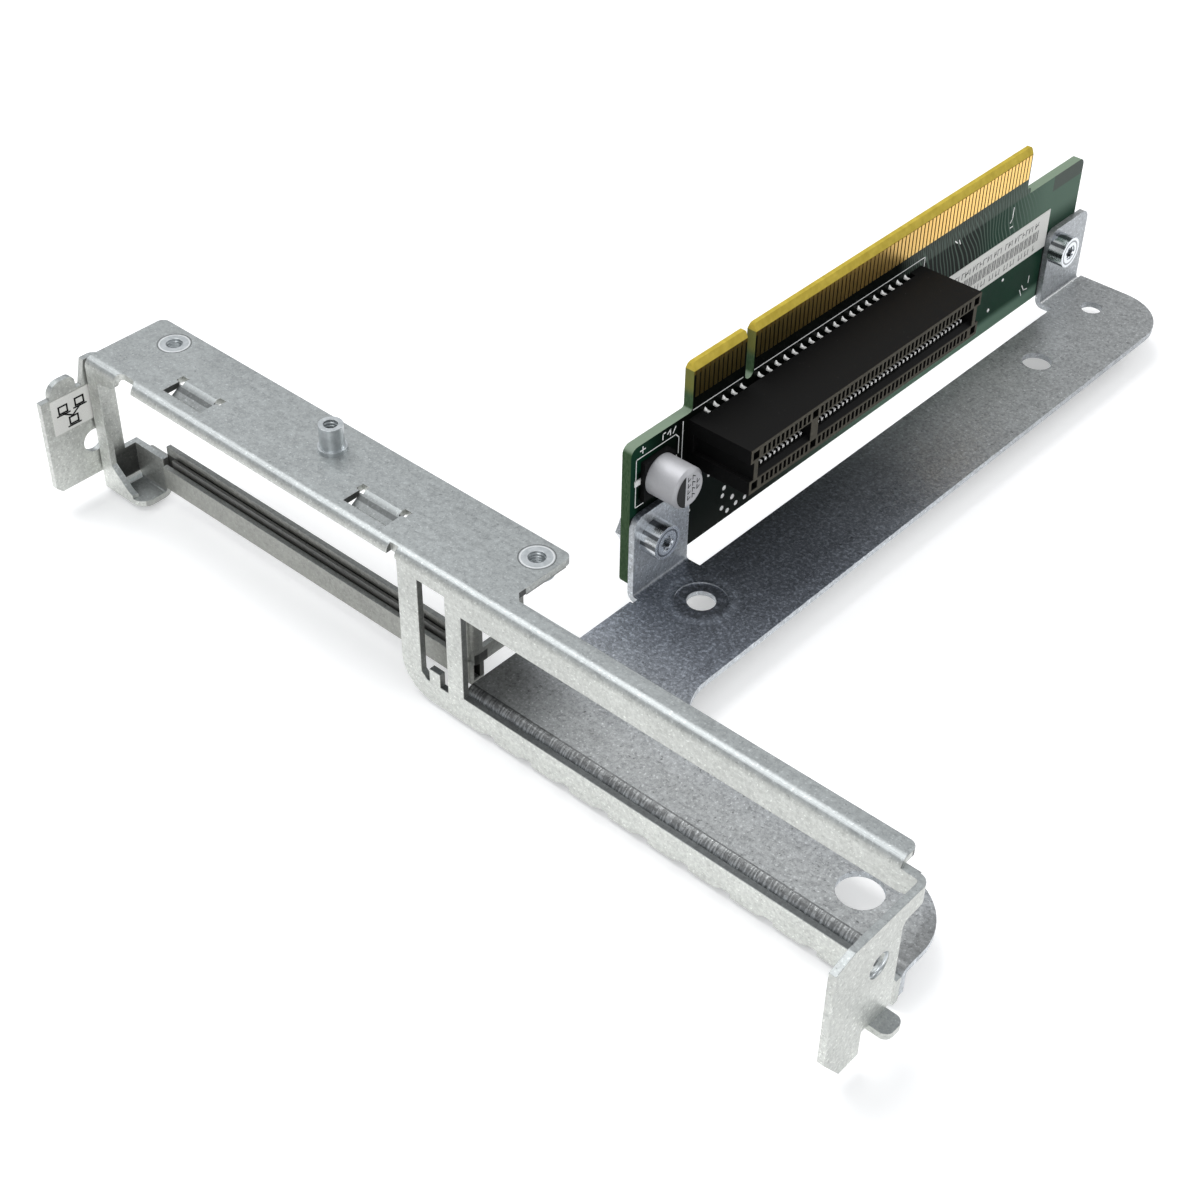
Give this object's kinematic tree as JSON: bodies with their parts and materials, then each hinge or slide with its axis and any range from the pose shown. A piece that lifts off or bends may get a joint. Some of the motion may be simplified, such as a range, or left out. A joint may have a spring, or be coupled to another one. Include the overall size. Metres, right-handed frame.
{
  "type": "pcie riser card",
  "caption": "Upright riser board with gold edge fingers and a side-facing black card slot, carried on a folded zinc-plated sheet-metal frame with a low-profile bracket window.",
  "frame": {"origin": "centre of the coined locating hole in the arm, on the arm's underside", "axes": "+X from the board towards the card that plugs into the slot, +Y from the bracket window along the arm, +Z the way the edge fingers point"},
  "size_m": [0.1556, 0.1674, 0.0386],
  "materials": {
    "zinc_frame": "zinc plated",
    "zinc_plate": "zinc plated",
    "zinc_rail": "zinc plated",
    "spring_steel": "bare spring steel",
    "board_laminate": "green solder mask on glass-fibre laminate",
    "contact_gold": "gold flash",
    "slot_plastic": "black moulded",
    "tin": "tinned",
    "can_aluminium": "satin",
    "screw_zinc": "bright zinc",
    "label_paper": "printed paper"
  },
  "bodies": {
    "root": {"front_frame": "zinc_frame", "base_plate": "zinc_plate", "rail_bracket": "zinc_rail", "rail_liner": "zinc_rail", "spring_strip": "spring_steel", "riser_board": "board_laminate", "edge_contacts_front": "contact_gold", "edge_contacts_back": "contact_gold", "slot_housing": "slot_plastic", "slot_springs_upper": "contact_gold", "slot_springs_lower": "contact_gold", "slot_tails": "tin", "capacitor_base": "slot_plastic", "capacitor_can": "can_aluminium", "capacitor_leads": "tin", "board_screws": "screw_zinc", "board_nuts": "screw_zinc", "shelf_studs": "screw_zinc", "guide_boss": "screw_zinc", "board_label": "label_paper", "flange_label": "label_paper"}
  },
  "joints": []
}
